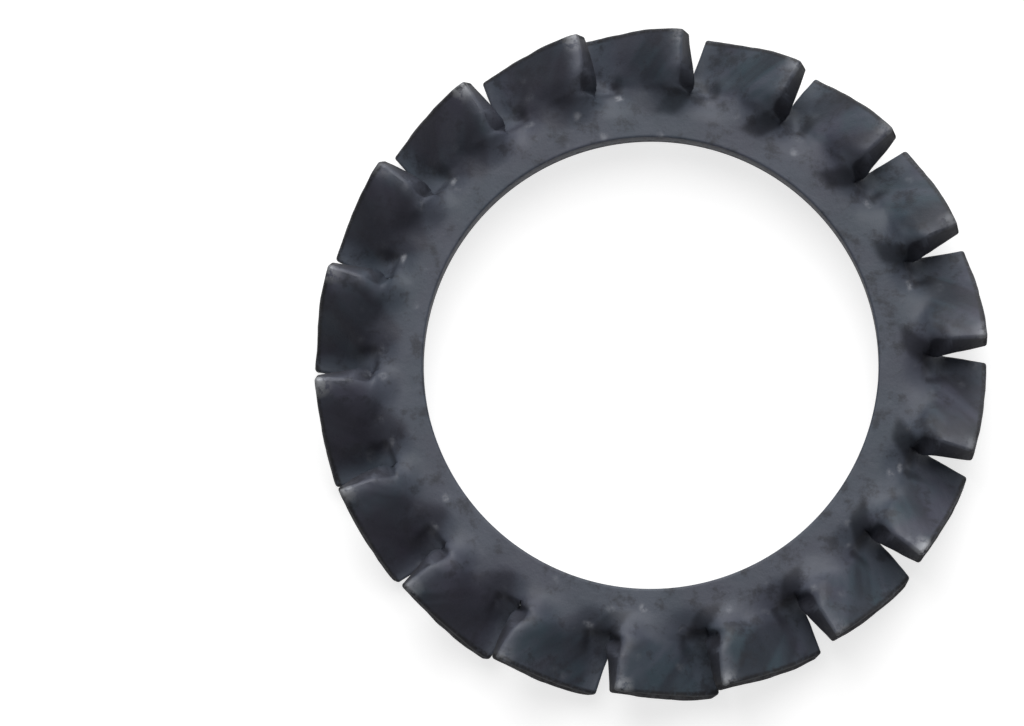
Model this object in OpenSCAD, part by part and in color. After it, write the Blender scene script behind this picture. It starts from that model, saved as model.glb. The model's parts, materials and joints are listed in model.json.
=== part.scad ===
// External tooth lock washer.
// A flat blank is lanced into teeth round its rim. Each tooth is then twisted about its own
// radial centre line, so that one edge stands up and bites the nut, and the other stands down
// and bites the work. Z is up, along the bore, and z = 0 is the middle of the flat ring.
// The first tooth is centred on +X. Seen from +Z, every tooth has its clockwise edge raised.

/* [Blank] */
// Diameter of the bore
bore_d = 17.2; // [14:0.1:24]
// Radial width of the ring, from the bore to the end of the slits
ring_w = 1.65; // [1.2:0.05:3]
// Radial length of the teeth, from the end of the slits to the rim
tooth_len = 2.5; // [1.8:0.05:4]
// Thickness of the sheet
sheet_t = 1.2; // [0.8:0.05:1.5]
// Number of teeth
teeth = 18; // [14:1:22]
// Width of the lanced slit between two teeth
slit_w = 0.06; // [0.04:0.01:0.12]
// Width that the slit opens to at the rim
rim_gap = 0.42; // [0.2:0.02:0.8]
// Size of the bevel that breaks the two edges of the bore
bore_break = 0.12; // [0.05:0.01:0.3]

/* [Twisted teeth] */
// Overall height, over the raised and the lowered edges of the teeth
set_h = 3.5; // [3:0.05:4.2]
// Height pressed off the highest edges, which leaves a narrow flat on each
coin_h = 0.1; // [0.04:0.01:0.2]
// Share of the sheet's thickness that is left in the teeth after forming
tooth_share = 0.92; // [0.85:0.01:1]
// Lean of the sheared side faces of a tooth, at its root and at the rim
root_lean = 38; // [20:1:42]
rim_lean = 22; // [10:1:30]
// Radial distance from the end of a slit to where the twist is complete
twist_len = 1.25; // [0.8:0.05:1.6]
// How far a tooth curls over towards its edges: 0 is a plain twist
curl = 0.42; // [0:0.02:0.5]

/* [Root of the teeth] */
// Height of the wave that the twist leaves in the ring and in the roots of the teeth
wave_h = 0.5; // [0:0.02:0.6]
// Radial width of the ring that the wave covers
wave_w = 0.9; // [0.5:0.05:1.1]
// Step that the forming punch presses into the root, beside the slit, as a share of the twist
punch_step = 0.3; // [0:0.05:0.35]

/* [Hidden] */
$fn = 144;

steel = [0.17, 0.18, 0.2];
bore_r = bore_d / 2;
slit_r = bore_r + ring_w;
rim_r = slit_r + tooth_len;
wave_r = slit_r - wave_w;
pitch_angle = 360 / teeth;
// Stock that the bore and the rim are cut from
stock = 0.6;
// Radial distances from the end of a slit over which the sheared faces start to lean, the
// wave dies out, and the punched edge comes down: its step first, then the rest
lean_len = 0.6;
wave_end = 0.65;
step_len = 0.2;
punch_len = 1;
// Where the punched strip ends and where the tooth's own surface takes over, as shares of the
// tooth's half width
punch_u = [-0.62, -0.45];
// Second harmonic of the wave, which makes it fall faster than it rises
wave_skew = 0.3;
// Radial distance by which the twist starts sooner on the raised half of a tooth, and later on
// the lowered half
lead = 0.3;
// Widest that a raised edge reaches over the lowered edge beside it, and the share of the
// clear height between them at which it may
lap_w = 0.15;
lap_share = 0.6;
// Amount by which a tooth is wider at its root than at the rim, to each side
taper = 0.05;
// Where the slits start to open, as a share of the teeth's length
open_share = 0.3;
open_r = slit_r + open_share * tooth_len;
// Height of the sheet's middle at the edge of a tooth
edge_z = set_h / 2 + coin_h - tooth_share * sheet_t / 2 * cos(rim_lean);

// Stations of the loft: across a tooth, and outwards
half_across = [0.22, -punch_u[1], -punch_u[0], 0.75, 0.9, 1];
across = concat([for (i = [5:-1:0]) -half_across[i]], [0], half_across);
wave_cells = 3;
twist_steps = [0.13, 0.28, 0.48, 0.72, 1];
outwards = concat(
    [bore_r - stock],
    [for (i = [0:wave_cells]) wave_r + wave_w * i / wave_cells],
    [for (step = twist_steps) slit_r + twist_len * step],
    [rim_r + stock]
);
slit_row = 1 + wave_cells;
rim_row = len(outwards) - 1;
columns = len(across);
rows = len(outwards);

// Eased step from 0 at x = 0 to 1 at x = 1
function ease(x) = let (c = min(max(x, 0), 1)) c * c * (3 - 2 * c);

// How complete the twist is at radius r, and the same for the edge that the punch brings down
function twist(r) = ease((r - slit_r) / twist_len);
function punched(r) =
    punch_step * ease((r - slit_r) / step_len)
    + (1 - punch_step) * ease((r - slit_r) / punch_len);

// Half the thickness, which goes from the sheet's to the tooth's as the twist builds up
function half_t(r) = sheet_t / 2 * (1 - (1 - tooth_share) * twist(r));

// How far the slit has opened: 0 up to where it starts, 1 at the rim
function opened(r) = max(r - open_r, 0) / (rim_r - open_r);

// Lean of the sheared faces
function edge_lean(r) =
    (root_lean + (rim_lean - root_lean) * opened(r)) * ease((r - slit_r) / lean_len);

// Half of a tooth's width, along the arc at radius r. The leaning faces of two teeth stay a
// slit apart while they pass each other. Above and below each other, the teeth may lap.
function half_width(r) =
    let (
        apart = edge_z * (twist(r) + punched(r)) / 2,
        face_w = half_t(r) * sin(edge_lean(r)),
        face_h = half_t(r) * cos(edge_lean(r)) - edge_z * (punched(r) - twist(r)) / 2,
        lap = min(max(lap_share * (apart - face_h), 0), lap_w),
        slit_side = PI * r / teeth - slit_w / 2 + lap,
        open_side = PI * rim_r / teeth - rim_gap / 2 + taper * (1 - opened(r))
    )
    min(slit_side, open_side) - face_w * min(apart / face_h, 1);

// Twist at u across the tooth, where u is -1 at the lowered edge and 1 at the raised one
function turned(u, r) =
    let (own = ease((u - punch_u[0]) / (punch_u[1] - punch_u[0])))
    twist(r + lead * u * (1 - pow(u, 4))) * own + punched(r) * (1 - own);

// Height of the sheet's middle under the upper face: the wave runs over into the curled tooth
function middle_z(u, r) =
    wave_h * ease((r - wave_r) / (wave_w + wave_end)) * (1 - turned(u, r))
    * (sin(180 * u) - wave_skew * sin(360 * u))
    + edge_z * turned(u, r) * ((1 + curl) * u - curl * u * u * u);

// Slope across the tooth
function slope(u, r) =
    atan(edge_z * turned(u, r) * (1 + curl - 3 * curl * u * u) / half_width(r));

// Lean of the sheet's thickness: square to the sheet inside the tooth, and the lean of the
// sheared face at its edges
function lean(u, r) = let (e = pow(u, 6)) (1 - e) * slope(u, r) + e * edge_lean(r);

// Point of the upper face, as [distance along the arc, height]
function upper(u, r) =
    let (a = lean(u, r), z = middle_z(u, r) + half_t(r) * cos(a))
    [u * half_width(r) - half_t(r) * sin(a), min(z, set_h / 2)];

// The lower face is the upper one turned half a turn about the tooth's centre line
function lower(u, r) = -upper(-u, r);

// Place a point of tooth k on its arc of radius r
function placed(k, p, r) =
    let (a = -k * pitch_angle - p[0] / r * 180 / PI)
    [r * cos(a), r * sin(a), p[1]];

// Number of a point: tooth k, face f (0 upper, 1 lower), row j outwards, column i across
function at(k, f, j, i) = (((k + teeth) % teeth * 2 + f) * rows + j) * columns + i;

// The same, where the column after the last is the first one of the next tooth
function on(k, f, j, i) = i < columns ? at(k, f, j, i) : at(k + 1, f, j, 0);

// Two triangles for four corners, named clockwise as seen from outside
function quad(a, b, c, d) = [[a, b, c], [a, c, d]];

// Faces of one tooth with its share of the ring
function tooth_faces(k) = concat(
    // Upper and lower face. Up to the end of the slits they run on into the next tooth.
    [for (j = [0:rim_row - 1]) for (i = [0:(j < slit_row ? columns : columns - 1) - 1])
        for (q = quad(on(k, 0, j, i), on(k, 0, j + 1, i), on(k, 0, j + 1, i + 1), on(k, 0, j, i + 1)))
            q],
    [for (j = [0:rim_row - 1]) for (i = [0:(j < slit_row ? columns : columns - 1) - 1])
        for (q = quad(on(k, 1, j, i + 1), on(k, 1, j + 1, i + 1), on(k, 1, j + 1, i), on(k, 1, j, i)))
            q],
    // Sheared faces at the raised and the lowered edge
    [for (j = [slit_row:rim_row - 1])
        for (q = quad(at(k, 1, j, columns - 1), at(k, 0, j, columns - 1),
                      at(k, 0, j + 1, columns - 1), at(k, 1, j + 1, columns - 1)))
            q],
    [for (j = [slit_row:rim_row - 1])
        for (q = quad(at(k, 1, j + 1, 0), at(k, 0, j + 1, 0), at(k, 0, j, 0), at(k, 1, j, 0)))
            q],
    // End of the slit, stock beyond the rim, and stock inside the bore
    quad(on(k, 1, slit_row, columns), on(k, 0, slit_row, columns),
         on(k, 0, slit_row, columns - 1), on(k, 1, slit_row, columns - 1)),
    [for (i = [0:columns - 2])
        for (q = quad(at(k, 1, rim_row, i + 1), at(k, 0, rim_row, i + 1),
                      at(k, 0, rim_row, i), at(k, 1, rim_row, i)))
            q],
    [for (i = [0:columns - 1])
        for (q = quad(on(k, 1, 0, i), on(k, 0, 0, i), on(k, 0, 0, i + 1), on(k, 1, 0, i + 1)))
            q]
);

// The blank after lancing and twisting, with stock left at the bore and the rim
module formed_blank() {
    points = [
        for (k = [0:teeth - 1]) for (f = [0, 1]) for (r = outwards) for (u = across)
            placed(k, f == 0 ? upper(u, r) : lower(u, r), r)
    ];
    faces = [for (k = [0:teeth - 1]) for (q = tooth_faces(k)) q];
    polyhedron(points, faces);
}

// Bore with both of its edges broken
module bore_cut() {
    cylinder(h = 2 * set_h, r = bore_r, center = true);
    for (side = [0, 1])
        mirror([0, 0, side])
            translate([0, 0, sheet_t / 2 - bore_break])
                cylinder(h = 2 * bore_break, r1 = bore_r, r2 = bore_r + 2 * bore_break);
}

module lock_washer() {
    color(steel)
        difference() {
            intersection() {
                formed_blank();
                cylinder(h = 2 * set_h, r = rim_r, center = true);
            }
            bore_cut();
        }
}

lock_washer();
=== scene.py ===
import json
import math
import random

import bmesh
import bpy
from mathutils import Matrix, Vector


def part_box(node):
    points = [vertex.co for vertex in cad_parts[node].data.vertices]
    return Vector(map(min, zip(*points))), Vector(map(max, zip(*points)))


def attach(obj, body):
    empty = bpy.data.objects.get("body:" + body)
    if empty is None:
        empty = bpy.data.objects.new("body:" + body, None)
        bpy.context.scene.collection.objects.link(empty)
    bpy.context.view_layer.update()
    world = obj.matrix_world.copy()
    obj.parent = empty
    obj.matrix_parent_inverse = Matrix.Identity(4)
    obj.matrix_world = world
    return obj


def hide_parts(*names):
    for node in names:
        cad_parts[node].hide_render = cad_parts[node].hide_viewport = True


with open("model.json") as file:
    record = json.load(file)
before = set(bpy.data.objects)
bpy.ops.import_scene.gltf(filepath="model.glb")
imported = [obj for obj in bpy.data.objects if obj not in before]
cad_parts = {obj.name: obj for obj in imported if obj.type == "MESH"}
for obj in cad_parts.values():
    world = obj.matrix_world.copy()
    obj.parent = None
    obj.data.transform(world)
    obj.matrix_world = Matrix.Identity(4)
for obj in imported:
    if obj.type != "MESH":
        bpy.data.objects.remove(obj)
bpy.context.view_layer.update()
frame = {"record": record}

# ---- Camera -----------------------------------------------------------------------------
# The washer lies flat and is looked down on, a little from the near side. The camera stands
# far off with a long lens, so the upper edges of the teeth are hardly larger than the lower.
mm = 0.001
view_turn = math.radians(8.5)
view_lean = math.radians(8)
view_side = math.radians(10)
view_distance = 400 * mm
view_width = 38.72 * mm
film_width = 36
aim = Vector((-5.25, 0.07, 0)) * mm

camera_data = bpy.data.cameras.new("camera")
camera_data.sensor_width = film_width
camera_data.lens = film_width * view_distance / view_width
camera_data.clip_start = 10 * mm
camera_data.clip_end = 10
camera = bpy.data.objects.new("camera", camera_data)
bpy.context.scene.collection.objects.link(camera)
bpy.context.scene.camera = camera
back = Vector((
    math.sin(view_lean) * math.sin(view_side),
    -math.sin(view_lean) * math.cos(view_side),
    math.cos(view_lean),
))
right = Vector((0, 1, 0)).cross(back).normalized()
looking = Matrix((right, back.cross(right), back)).transposed().to_4x4()
camera.matrix_world = (
    Matrix.Rotation(view_turn, 4, "Z")
    @ Matrix.Translation(aim + back * view_distance)
    @ looking
)

# ---- Light and floor --------------------------------------------------------------------
# Two wide softboxes, one nearly overhead and one low on the far side, in a dim even room.
# The floor is a white table top: it shows white to the camera and keeps the soft shadow.
softbox_width = 600 * mm
softbox_height = 600 * mm
room_light = 0.2
floor_width = 4
floor_grey = (0.5, 0.5, 0.5, 1)
floor_glow = 0.72


def hang_softbox(name, tilt, energy):
    """Hang a round softbox over the washer, tilted by so many degrees to the far side."""
    lamp_data = bpy.data.lights.new(name, "AREA")
    lamp_data.shape = "DISK"
    lamp_data.size = softbox_width
    lamp_data.energy = energy
    lamp = bpy.data.objects.new(name, lamp_data)
    bpy.context.scene.collection.objects.link(lamp)
    stand = Matrix.Rotation(view_turn, 4, "Z") @ Matrix.Rotation(math.radians(-tilt), 4, "X")
    lamp.matrix_world = stand @ Matrix.Translation((0, 0, softbox_height))


hang_softbox("overhead_softbox", tilt=32, energy=2.8)
hang_softbox("far_softbox", tilt=68, energy=1.5)

world = bpy.data.worlds.new("room")
bpy.context.scene.world = world
world.use_nodes = True
walls = world.node_tree.nodes["Background"]
walls.inputs["Color"].default_value = (1, 1, 1, 1)
walls.inputs["Strength"].default_value = room_light


class Ink:
    """A value on its way through a material. Arithmetic on it adds Math nodes."""

    def __init__(self, finish, socket):
        self.finish = finish
        self.socket = socket

    def __add__(self, other):
        return self.finish.math("ADD", self, other)

    def __radd__(self, other):
        return self.finish.math("ADD", other, self)

    def __sub__(self, other):
        return self.finish.math("SUBTRACT", self, other)

    def __rsub__(self, other):
        return self.finish.math("SUBTRACT", other, self)

    def __mul__(self, other):
        return self.finish.math("MULTIPLY", self, other)

    def __rmul__(self, other):
        return self.finish.math("MULTIPLY", other, self)

    def __abs__(self):
        return self.finish.math("ABSOLUTE", self)

    def larger(self, other):
        """The larger of this value and the other."""
        return self.finish.math("MAXIMUM", self, other)

    def eased(self, start, end):
        """0 below the start, 1 above the end, and a smooth step between."""
        return self.finish.node(
            "ShaderNodeMapRange",
            {"interpolation_type": "SMOOTHSTEP"},
            {"Value": self, "From Min": start, "From Max": end},
        )[0]

    def faded(self, start, end):
        """1 below the start, 0 above the end, and a smooth step between."""
        return 1 - self.eased(start, end)

    def near(self, centre, inner, outer):
        """1 within the inner distance of the centre, and 0 beyond the outer one."""
        return abs(self - centre).faded(inner, outer)

    def within(self, start, full, last, end):
        """Rises from the start until it is 1 at full, and falls from the last until the end."""
        return self.eased(start, full) * self.faded(last, end)


class Finish:
    """A material, its nodes and the colour that it has so far."""

    def __init__(self, name):
        self.material = bpy.data.materials.new(name)
        self.material.use_nodes = True
        self.tree = self.material.node_tree
        self.tree.nodes.clear()
        self.colour = None

    def node(self, kind, settings, sockets):
        """Add a node: its type, its settings, and the values or links of its sockets."""
        made = self.tree.nodes.new(kind)
        for name, value in settings.items():
            setattr(made, name, value)
        for name, value in sockets.items():
            if isinstance(value, Ink):
                self.tree.links.new(value.socket, made.inputs[name])
            else:
                made.inputs[name].default_value = value
        return [Ink(self, output) for output in made.outputs]

    def math(self, operation, *terms):
        """Add a Math node with these terms."""
        sockets = dict(enumerate(terms))
        return self.node("ShaderNodeMath", {"operation": operation}, sockets)[0]

    def lay(self, colour, where, strength=1):
        """Lay a colour over the one that the material has so far, where the mask says."""
        sockets = {0: where * strength, 6: self.colour, 7: colour}
        self.colour = self.node("ShaderNodeMix", {"data_type": "RGBA"}, sockets)[2]

    def noise(self, place, per_mm, detail=3, roughness=0.6, offset=0):
        """Soft noise from 0 to 1, with this many features to a millimetre. Another offset gives
        another pattern."""
        moved = self.node(
            "ShaderNodeVectorMath", {"operation": "ADD"}, {0: place, 1: (offset, offset, offset)}
        )[0]
        sockets = {"Vector": moved, "Scale": per_mm, "Detail": detail, "Roughness": roughness}
        return self.node("ShaderNodeTexNoise", {}, sockets)[0]


bpy.ops.object.select_all(action="DESELECT")
table_top = (0, 0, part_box("lock_washer")[0].z)
bpy.ops.mesh.primitive_plane_add(size=floor_width, location=table_top)
floor = bpy.context.object
floor.name = "floor"
paper = Finish("white_table")
ray = paper.node("ShaderNodeLightPath", {}, {})
is_camera, is_glossy, is_transmission = ray[0], ray[3], ray[6]
seen = is_camera.larger(is_glossy).larger(is_transmission)
glow = paper.node("ShaderNodeEmission", {}, {"Strength": seen * floor_glow})[0]
white = paper.node("ShaderNodeBsdfDiffuse", {}, {"Color": floor_grey})[0]
both = paper.node("ShaderNodeAddShader", {}, {0: white, 1: glow})[0]
paper.node("ShaderNodeOutputMaterial", {}, {"Surface": both})
floor.data.materials.append(paper.material)

bpy.context.scene.view_settings.view_transform = "Standard"

# ---- The washer -------------------------------------------------------------------------
# One stamping of spring steel sheet. Slits are lanced in from the rim, and each tooth is
# twisted between two punches, so one of its edges stands up and the other down. It is made
# here in the same order: one tooth with its share of the ring, and then the copies of it.
bore_centre = (0, 0, 0)
bore_r = frame["record"]["mounts"][0]["dims"]["r_mm"] * mm
slit_r = 10.25 * mm
sheet_t = 1.2 * mm
teeth = 18
pitch = 2 * math.pi / teeth

# The surface ends up uneven, so the rim and the top stay a little inside the box of the solid
side_margin = 0.07 * mm
top_margin = 0.1 * mm
rim_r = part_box("lock_washer")[1].x - side_margin
rim_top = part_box("lock_washer")[1].z - top_margin

# A hair is a distance that makes no difference. Points that lie closer than a weld are joined.
hair = 0.001 * mm
weld = 0.002 * mm

# A slit stays shut over the first part of the teeth's length, and then opens to the rim. Above
# and below each other the teeth may lap a little, and they are a little wider at the root.
slit_w = 0.012 * mm
rim_gap = 0.44 * mm
open_share = 0.3
open_r = slit_r + open_share * (rim_r - slit_r)
lap_w = 0.15 * mm
lap_share = 0.6
taper = 0.05 * mm

# The twist builds up from the end of the slit, sooner on the raised half of a tooth. At the
# lowered edge the punch comes down with a step first, up to the strip where the tooth's own
# surface takes over. Its place is a share of the half width. The teeth curl over at their edges.
twist_len = 1.25 * mm
punch_len = 1.0 * mm
step_len = 0.26 * mm
punch_step = 0.3
punch_strip = (-0.62, -0.45)
lead = 0.3 * mm
curl = 0.42
tooth_t = 1.1 * mm

# The twist leaves a wave in the ring, which falls faster than it rises
wave_h = 0.5 * mm
wave_r = slit_r - 0.9 * mm
wave_end = slit_r + 0.65 * mm
wave_skew = 0.3

# The sheared faces lean, and the highest edges are pressed flat
root_lean = math.radians(30)
rim_lean = math.radians(12)
lean_len = 0.6 * mm
coined = 0.05 * mm
edge_z = rim_top + coined - tooth_t / 2 * math.cos(rim_lean)

# Stations of the upper face: columns across a tooth, and the radii in millimetres of the rows
# over the ring, over the root where the twist builds up, and over the rest of the tooth
columns = 28
ring_rows = [8.72, 9.0, 9.35, 9.5, 9.65, 9.8, 9.95, 10.1, 10.25]
root_rows = [
    10.3, 10.36, 10.42, 10.48, 10.55, 10.63, 10.72, 10.82, 10.92, 11.02, 11.14, 11.27, 11.4
]
tip_rows = [11.55, 11.75, 12.0, 12.25, 12.5]
rows = [row * mm for row in ring_rows + root_rows + tip_rows] + [rim_r]

# The punches round the outline of a tooth, clear of the slit's end. The bore's edges are
# broken, and forming leaves the surface of the teeth and of the outer ring a little uneven.
round_from = slit_r + 0.4 * mm
outline_round = 0.1 * mm
sharp_fold = math.radians(45)
bore_break = 0.07 * mm
uneven_from = bore_r + 0.3 * mm
uneven_width = 1.3 * mm
uneven_depth = 0.1 * mm


def ease(start, end, value):
    """Eased step from 0 at the start to 1 at the end."""
    share = min(max((value - start) / (end - start), 0), 1)
    return share * share * (3 - 2 * share)


def row_of(r):
    """What a row of the tooth at this radius needs: twist, punched edge, half thickness,
    lean of its sheared faces and half width."""
    twist = ease(slit_r, slit_r + twist_len, r)
    step = ease(slit_r, slit_r + step_len, r)
    punched = punch_step * step + (1 - punch_step) * ease(slit_r, slit_r + punch_len, r)
    half_t = (sheet_t + (tooth_t - sheet_t) * twist) / 2
    opened = max(r - open_r, 0) / (rim_r - open_r)
    lean = (root_lean + (rim_lean - root_lean) * opened) * ease(slit_r, slit_r + lean_len, r)
    apart = edge_z * (twist + punched) / 2
    face_h = half_t * math.cos(lean) - edge_z * (punched - twist) / 2
    lap = min(max(lap_share * (apart - face_h), 0), lap_w)
    slit_side = pitch / 2 * r + lap - (slit_w / 2 if r > slit_r + hair else 0)
    open_side = pitch / 2 * rim_r - rim_gap / 2 + taper * (1 - opened)
    half_w = min(slit_side, open_side) - half_t * math.sin(lean) * min(apart / face_h, 1)
    return twist, punched, half_t, lean, half_w


def upper_point(u, r):
    """Place of a point of the upper face. u goes from -1 at the lowered edge of the tooth
    to 1 at the raised one."""
    twist, punched, half_t, edge_lean, half_w = row_of(r)
    own = ease(slit_r, slit_r + twist_len, r + lead * u * (1 - u**4))
    turned = punched + (own - punched) * ease(*punch_strip, u)
    wave = math.sin(math.pi * u) - wave_skew * math.sin(2 * math.pi * u)
    height = wave_h * ease(wave_r, wave_end, r) * (1 - turned) * wave
    height += edge_z * turned * ((1 + curl) * u - curl * u**3)
    slope = math.atan(edge_z * turned * (1 + curl - 3 * curl * u * u) / half_w)
    lean = slope + (edge_lean - slope) * u**6
    angle = -(u * half_w - half_t * math.sin(lean)) / r
    z = min(height + half_t * math.cos(lean), rim_top)
    return Vector((r * math.cos(angle), r * math.sin(angle), z))


def open_points():
    """The points of the piece in hand."""
    points = bmesh.from_edit_mesh(bpy.context.object.data).verts
    points.ensure_lookup_table()
    return points


def choose(test):
    """Select the points whose place passes the test, and the edges and faces between them."""
    bpy.ops.mesh.select_all(action="DESELECT")
    shape = bmesh.from_edit_mesh(bpy.context.object.data)
    for point in shape.verts:
        point.select = test(point.co)
    shape.select_flush(True)
    bmesh.update_edit_mesh(bpy.context.object.data)


def choose_edges(test):
    """Select the edges that pass the test."""
    bpy.ops.mesh.select_all(action="DESELECT")
    bpy.ops.mesh.select_mode(type="EDGE")
    shape = bmesh.from_edit_mesh(bpy.context.object.data)
    for edge in shape.edges:
        edge.select = test(edge)
    bmesh.update_edit_mesh(bpy.context.object.data)


def radius(place):
    """Distance of a place from the axis of the bore."""
    return math.hypot(place.x, place.y)


# The upper face: the arc of the bore that belongs to one tooth, drawn outwards row by row, and
# then each of its points is pulled to its place
spare = 0.01 * pitch
bpy.ops.object.select_all(action="DESELECT")
bpy.ops.mesh.primitive_circle_add(vertices=columns * teeth, radius=bore_r)
tooth = bpy.context.object
tooth.name = "spring_washer"
bpy.ops.object.mode_set(mode="EDIT")
choose(lambda p: abs(math.atan2(p.y, p.x)) > pitch / 2 + spare)
bpy.ops.mesh.delete(type="VERT")
bpy.ops.mesh.select_all(action="SELECT")
r = bore_r
for row in rows:
    bpy.ops.mesh.extrude_region_move()
    bpy.ops.transform.resize(value=(row / r, row / r, 1), center_override=bore_centre)
    r = row
shape = bmesh.from_edit_mesh(tooth.data)
places = [(-2 * math.atan2(p.co.y, p.co.x) / pitch, radius(p.co)) for p in shape.verts]
for number, (u, r) in enumerate(places):
    bpy.ops.mesh.select_all(action="DESELECT")
    point = open_points()[number]
    point.select = True
    bpy.ops.transform.translate(value=upper_point(u, r) - point.co)

# The lower face is the upper one turned over, and walls close the gap between the two. The
# rim's wall comes first, which leaves the two flanks as separate gaps.
tooth_edge = slit_r + 0.01 * mm
bpy.ops.mesh.select_all(action="SELECT")
bpy.ops.mesh.duplicate()
bpy.ops.transform.rotate(value=math.pi, orient_axis="X", center_override=bore_centre)


def border(edge):
    """Whether an edge is on the open outline of a face of the tooth, outside the ring."""
    return edge.is_boundary and max(radius(p.co) for p in edge.verts) > tooth_edge


def side_of(edge):
    """-1 and 1 for the two flanks, 0 for the rim."""
    if min(radius(p.co) for p in edge.verts) > rim_r - hair:
        return 0
    return 1 if edge.verts[0].co.y > 0 else -1


for side in (0, -1, 1):
    choose_edges(lambda edge: border(edge) and side_of(edge) == side)
    bpy.ops.mesh.bridge_edge_loops()
bpy.ops.mesh.select_mode(type="VERT")
bpy.ops.mesh.select_all(action="SELECT")
bpy.ops.mesh.remove_doubles(threshold=weld)
bpy.ops.mesh.normals_make_consistent(inside=False)

# The forming punch leaves the outline of the tooth slightly rounded
choose_edges(
    lambda edge: len(edge.link_faces) == 2
    and edge.calc_face_angle() > sharp_fold
    and min(radius(p.co) for p in edge.verts) > round_from
)
bpy.ops.mesh.bevel(offset=outline_round, segments=3)
bpy.ops.object.mode_set(mode="OBJECT")

# The copies, each a little different as it came off the tool. Most of those on the -X side are
# wider, or set round the rim: by tooth, millimetres wider and millimetres clockwise. The teeth
# are counted clockwise from +X, because without a window the operator turns them that way.
random.seed(11)
askew = {
    3: (0.25, 0.13),
    4: (0.2, -0.15),
    5: (0.1, 0.1),
    6: (0.25, 0),
    7: (0.2, 0.05),
    8: (0.25, 0),
    9: (0.1, 0),
    10: (0.1, -0.05),
    11: (0.05, 0),
    12: (0.25, 0.13),
    13: (0.05, -0.2),
    14: (0.1, 0.05),
}
tip_r = rim_r - 0.3 * mm
tip_width = 4 * mm
tip_centre = (rim_r, 0, 0)
carried_length = 2.1 * mm
carry = {"use_proportional_edit": True, "proportional_size": carried_length}


def bend_tip(axis, centre, most):
    """Turn the tip of a tooth by up to this many degrees. It carries the tooth along."""
    angle = math.radians(random.uniform(-most, most))
    bpy.ops.transform.rotate(value=angle, orient_axis=axis, center_override=centre, **carry)


washer_parts = [tooth]
for number in range(1, teeth):
    bpy.ops.object.select_all(action="DESELECT")
    tooth.select_set(True)
    bpy.context.view_layer.objects.active = tooth
    bpy.ops.object.duplicate()
    washer_parts.append(bpy.context.object)
for number, part in enumerate(washer_parts):
    bpy.ops.object.select_all(action="DESELECT")
    part.select_set(True)
    bpy.context.view_layer.objects.active = part
    bpy.ops.object.mode_set(mode="EDIT")
    choose(lambda p: radius(p) > tip_r)
    bend_tip("X", bore_centre, most=1.5)
    bend_tip("Z", tip_centre, most=1.6)
    wider, clockwise = [amount * mm for amount in askew.get(number, (0, 0))]
    stretch = (1, 1 + wider / tip_width, 1)
    bpy.ops.transform.resize(value=stretch, center_override=bore_centre, **carry)
    bpy.ops.transform.translate(value=(0, -clockwise, 0), **carry)
    bpy.ops.object.mode_set(mode="OBJECT")
    bpy.ops.transform.rotate(value=number * pitch, orient_axis="Z", center_override=bore_centre)
    bpy.ops.object.transform_apply(location=True, rotation=True, scale=True)
bpy.ops.object.select_all(action="DESELECT")
for part in washer_parts:
    part.select_set(True)
bpy.context.view_layer.objects.active = tooth
bpy.ops.object.join()

# The parts are welded into one ring, and the bore's wall closes it and has its edges broken
bore_edge = bore_r + 0.01 * mm
bpy.ops.object.mode_set(mode="EDIT")
bpy.ops.mesh.select_all(action="SELECT")
bpy.ops.mesh.remove_doubles(threshold=weld)
choose_edges(lambda edge: edge.is_boundary)
bpy.ops.mesh.bridge_edge_loops()
choose_edges(
    lambda edge: max(radius(p.co) for p in edge.verts) < bore_edge
    and abs(edge.verts[0].co.z - edge.verts[1].co.z) < sheet_t / 2
)
bpy.ops.mesh.bevel(offset=bore_break, segments=2)
bpy.ops.mesh.select_mode(type="VERT")
bpy.ops.mesh.select_all(action="SELECT")
bpy.ops.mesh.normals_make_consistent(inside=False)
bpy.ops.object.mode_set(mode="OBJECT")

formed = tooth.vertex_groups.new(name="formed")
for point in tooth.data.vertices:
    formed.add([point.index], ease(uneven_from, slit_r, radius(point.co)), "REPLACE")
unevenness = tooth.modifiers.new("unevenness", "DISPLACE")
unevenness.vertex_group = "formed"
unevenness.texture = bpy.data.textures.new("unevenness", "CLOUDS")
unevenness.texture.noise_scale = uneven_width
unevenness.strength = uneven_depth
bpy.ops.object.modifier_apply(modifier="unevenness")
bpy.ops.object.shade_smooth_by_angle(angle=sharp_fold)

# Blackened steel: a thin dark coating that turns teal and violet in patches, speckled on the
# ring, and rubbed through to bright steel on the biting corners. Most colours are states of the
# coating or of the bare steel; the others are painted shade and painted highlights.
blue_black = (0.042, 0.048, 0.067, 1)
teal_black = (0.026, 0.056, 0.071, 1)
violet_black = (0.05, 0.041, 0.069, 1)
dark_streak = (0.014, 0.015, 0.024, 1)
light_streak = (0.07, 0.077, 0.105, 1)
# The next two greys are painted highlights, on the flat ledge and along the crest
ledge_light_grey = (0.07, 0.084, 0.11, 1)
crest_highlight_grey = (0.11, 0.118, 0.15, 1)
thin_coat = (0.066, 0.075, 0.102, 1)
ring_grey = (0.092, 0.104, 0.138, 1)
thick_coat = (0.015, 0.016, 0.022, 1)
# The next three blacks are painted shade: on the tongue, on the flanks, and in the fold, hem and
# boot
tongue_shade_black = (0.025, 0.024, 0.037, 1)
flank_shade_black = (0.018, 0.018, 0.027, 1)
painted_shade_black = (0.008, 0.009, 0.013, 1)
# A painted glint
glint_grey = (0.26, 0.27, 0.3, 1)
outline_black = (0.007, 0.007, 0.01, 1)
speck_steel = (0.24, 0.25, 0.28, 1)
sheared_black = (0.01, 0.01, 0.014, 1)
sheared_line = (0.035, 0.037, 0.05, 1)
burnished_grey = (0.085, 0.09, 0.11, 1)
burnished_line = (0.045, 0.048, 0.06, 1)
broken_black = (0.028, 0.03, 0.039, 1)
bright_steel = (0.36, 0.37, 0.39, 1)
soot_black = (0.012, 0.012, 0.016, 1)

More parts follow.
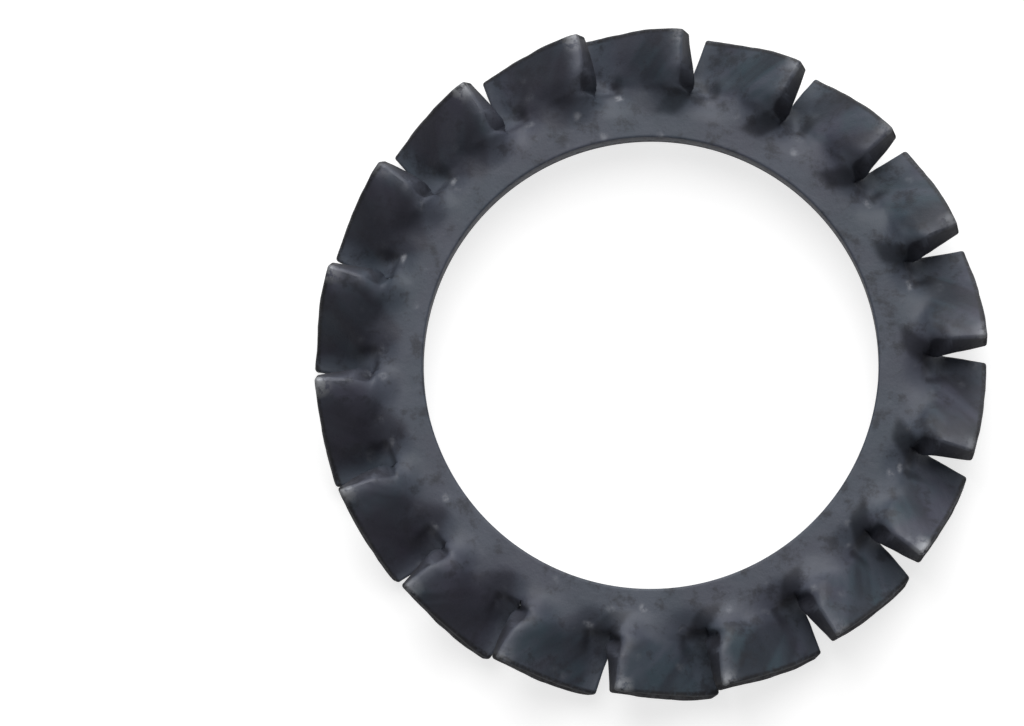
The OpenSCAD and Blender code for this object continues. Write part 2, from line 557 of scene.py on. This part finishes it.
# In the material, distances are in millimetres and r is the radius. As in the mesh, u goes from
# -1 at the lowered edge of a tooth to 1 at the raised one. Seen from below they change places.
steel = Finish("blackened_spring_steel")
place_in_metres = steel.node("ShaderNodeTexCoord", {}, {})[3]
to_mm = {0: place_in_metres, "Scale": 1 / mm}
place = steel.node("ShaderNodeVectorMath", {"operation": "SCALE"}, to_mm)[0]
x, y, z = steel.node("ShaderNodeSeparateXYZ", {}, {0: place})
flat_place = steel.node("ShaderNodeCombineXYZ", {}, {0: x, 1: y})[0]
r = steel.node("ShaderNodeVectorMath", {"operation": "LENGTH"}, {0: flat_place})[1]
outward = steel.node("ShaderNodeVectorMath", {"operation": "NORMALIZE"}, {0: flat_place})[0]
out_x, out_y = steel.node("ShaderNodeSeparateXYZ", {}, {0: outward})[:2]
facing = steel.node("ShaderNodeNewGeometry", {}, {})[1]
facing_up = steel.node("ShaderNodeSeparateXYZ", {}, {0: facing})[2]
seen_from = steel.math("SIGN", facing_up)
turn = steel.math("ARCTAN2", y, x)
u = steel.math("WRAP", turn * (-2 / pitch), 1, -1) * seen_from

# Masks, from 0 to 1: the teeth, the sheared walls and the faces between them, the flanks that
# dip towards a slit, which get painted shade, and the -X side of the washer, where the coating
# is less teal and the painted shade at the roots lies in other places
on_tooth = r.eased(10.3, 11.0)
on_wall = abs(facing_up).faded(0.16, 0.5)
on_face = 1 - on_wall
flank_shade_mask = abs(facing_up).faded(0.42, 0.62) * r.eased(10.4, 10.8)
violet_side = out_x.faded(-0.45, 0.25)

# Noise, from broad patches to fine grain, and u made a little wavy by it
patches = steel.noise(place, per_mm=0.42)
tones = steel.noise(place, per_mm=0.3, offset=40)
cloudy = steel.noise(place, per_mm=1.3, detail=4, roughness=0.65, offset=20)
rub = steel.noise(place, per_mm=3.2, roughness=0.65, offset=80)
grain = steel.noise(place, per_mm=6.5, offset=60)
wavy_u = u + 0.25 * cloudy - 0.125

# Painted shade: in the fold beside each slit, along the hem at its end, and in a hollow that
# slants from there into the ring like a boot. The boot moves round the tooth and fades with the
# side of the washer, as the shading of the wave in the ring does
fold_u = -0.52
hem_r = 10.34
boot_slant = 0.42
boot_r = 8
fold_shade = wavy_u.near(fold_u, 0, 0.15) * r.within(10.3, 10.45, 10.8, 11.5)
hem_shade = r.near(hem_r, 0, 0.22) * wavy_u.faded(-0.6, -0.35)
from_boot = steel.math("WRAP", wavy_u - boot_slant * (r - boot_r) + 0.18 * out_y, 1, -1)
boot_shade = abs(from_boot).faded(0.14, 0.36) * r.within(9.35, 9.7, 10.4, 10.8)
# All the painted shade at the roots together. It also makes the shader dull below.
painted_shade = (fold_shade * 0.36).larger(hem_shade * 0.12).larger(boot_shade * (0.36 - 0.32 * violet_side))

# The coating is teal and violet in patches, most of all on the teeth, which have streaks where
# the punch drew over them
teal = tones.eased(0.45, 0.65) * (0.3 + 0.3 * on_tooth)
violet = tones.faded(0.36, 0.51) * (0.25 + 0.3 * on_tooth)
streak_u = 1.5 * (u - 0.41 * r)
drawn = steel.node("ShaderNodeCombineXYZ", {}, {0: streak_u, 1: 3 * out_x, 2: 3 * out_y})[0]
streaks = steel.noise(drawn, per_mm=1, detail=2, roughness=0.5)
steel.colour = blue_black
steel.lay(teal_black, teal.larger(on_tooth * (0.4 - 0.4 * violet_side)))
steel.lay(violet_black, violet)
steel.lay(dark_streak, streaks.eased(0.46, 0.6) * on_tooth, strength=0.7)
steel.lay(light_streak, streaks.faded(0.34, 0.48) * on_tooth, strength=0.6)

# A painted highlight lies on the ledge beside each slit and along the crest of each tooth, and
# the ring is lighter. The coating is thick in clouds. Painted shade lies on the flanks and on a
# tongue that runs from each tooth of the violet side into the ring.
# Painted highlight on the flat ledge beside each slit, which faces the lamps
ledge_light = wavy_u.faded(-0.74, -0.56) * r.eased(10.35, 10.6) * on_face
# Painted highlight along the crest of each tooth
crest_highlight = wavy_u.eased(0.5, 0.85) * on_tooth * on_face
# Painted shade: a tongue from each tooth of the violet side into the ring, placed round the
# tooth by the side of the washer, as the shading of the wave in the ring is
to_root = r.eased(9.4, 10.7)
tongue_u = (1 - 0.4 * to_root) * (0.35 * out_y - 0.2)
tongue_w = 0.1 + 0.4 * to_root
beside_tongue = abs(wavy_u - tongue_u) - tongue_w
tongue_shade = beside_tongue.faded(-0.1, 0.18) * r.eased(9.3, 9.7) * violet_side
steel.lay(ledge_light_grey, ledge_light, strength=0.55)
steel.lay(crest_highlight_grey, crest_highlight * (0.35 + 0.6 * cloudy))
steel.lay(thin_coat, patches.eased(0.42, 0.66) * (1 - 0.6 * on_tooth), strength=0.6)
steel.lay(ring_grey, (1 - on_tooth) * (1 - 3 * painted_shade), strength=0.26)
steel.lay(thick_coat, cloudy.eased(0.5, 0.68), strength=0.65)
steel.lay(tongue_shade_black, tongue_shade * on_face, strength=0.6)
# Painted shade on the steep flanks, weaker on the violet side
steel.lay(flank_shade_black, flank_shade_mask * (0.7 - 0.3 * violet_side))
# Lays the painted shade of the fold, the hem and the boot
steel.lay(painted_shade_black, painted_shade)

# Painted glints lie at the end of each slit, at the lower corner of the fold, stronger on the
# violet side. Bare steel shows in small specks and on the biting corners. Round the rim the
# outline is dark.
glint_r = 10.2
glint = wavy_u.near(fold_u, 0.02, 0.15) * r.near(glint_r, 0.02, 0.16) * rub.eased(0.35, 0.65)
glint_share = tones.eased(0.44, 0.56) + 0.4 * violet_side * (1 + out_y)
outline = r.eased(12.46, 12.58) * (0.4 + 0.6 * grain.eased(0.35, 0.55))
dots = steel.node(
    "ShaderNodeTexVoronoi", {"voronoi_dimensions": "2D"}, {"Vector": flat_place, "Scale": 0.6}
)[0]
specks = dots.faded(0.02, 0.15) * rub.eased(0.3, 0.75) * patches.eased(0.46, 0.6)
corners = abs(z).eased(1.45, 1.66) * r.eased(11.9, 12.6)
worn = corners * rub.eased(0.34, 0.56) * (0.35 + 0.65 * patches.eased(0.4, 0.56))
steel.lay(glint_grey, glint * glint_share, strength=0.7)
steel.lay(outline_black, outline, strength=0.9)
steel.lay(speck_steel, specks * (1 - 0.6 * on_tooth))

# The tool drew fine lines down the sheared walls, which are dark. The bore is burnished in its
# upper part and broken out in its lower part.
stretched = steel.node("ShaderNodeCombineXYZ", {}, {0: x, 1: y, 2: 0.12 * z})[0]
lines = steel.noise(stretched, per_mm=4.5, offset=100)
sheared = on_wall * (0.65 * on_tooth).larger(r.eased(12.45, 12.6))
bore_wall = on_wall * r.faded(8.7, 8.9)
broken = (z + 1.2 * lines).faded(0.32, 0.42) * bore_wall
steel.lay(sheared_black, sheared)
steel.lay(burnished_grey, bore_wall)
steel.lay(burnished_line, bore_wall * lines.eased(0.46, 0.62), strength=0.7)
steel.lay(broken_black, broken, strength=0.8)
steel.lay(sheared_line, sheared * lines.eased(0.5, 0.64))
steel.lay(bright_steel, worn, strength=0.8)

# The coated steel is satin, and the painted shade and the rim's wall are as dull as soot
bumps = cloudy * 0.5 + grain * 0.12 + patches * 0.4 + lines * on_wall * 0.5
relief = {"Strength": 0.5, "Distance": 0.1 * mm, "Height": bumps}
uneven = steel.node("ShaderNodeBump", {}, relief)[0]
coated = steel.node(
    "ShaderNodeBsdfPrincipled",
    {},
    {
        "Base Color": steel.colour,
        "Roughness": 0.46 + 0.2 * cloudy + 0.15 * on_wall + 0.15 * broken,
        "Metallic": worn * 0.8 + specks * 0.3,
        "Normal": uneven,
    },
)[0]
soot = steel.node("ShaderNodeBsdfDiffuse", {}, {"Color": soot_black})[0]
rim_wall = on_wall * r.eased(12.5, 12.62) * (1 - 0.7 * lines)
dull = rim_wall.larger(painted_shade)
surface = steel.node("ShaderNodeMixShader", {}, {0: dull, 1: coated, 2: soot})[0]
steel.node("ShaderNodeOutputMaterial", {}, {"Surface": surface})
tooth.data.materials.clear()
tooth.data.materials.append(steel.material)
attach(tooth, "root")
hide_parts("lock_washer")
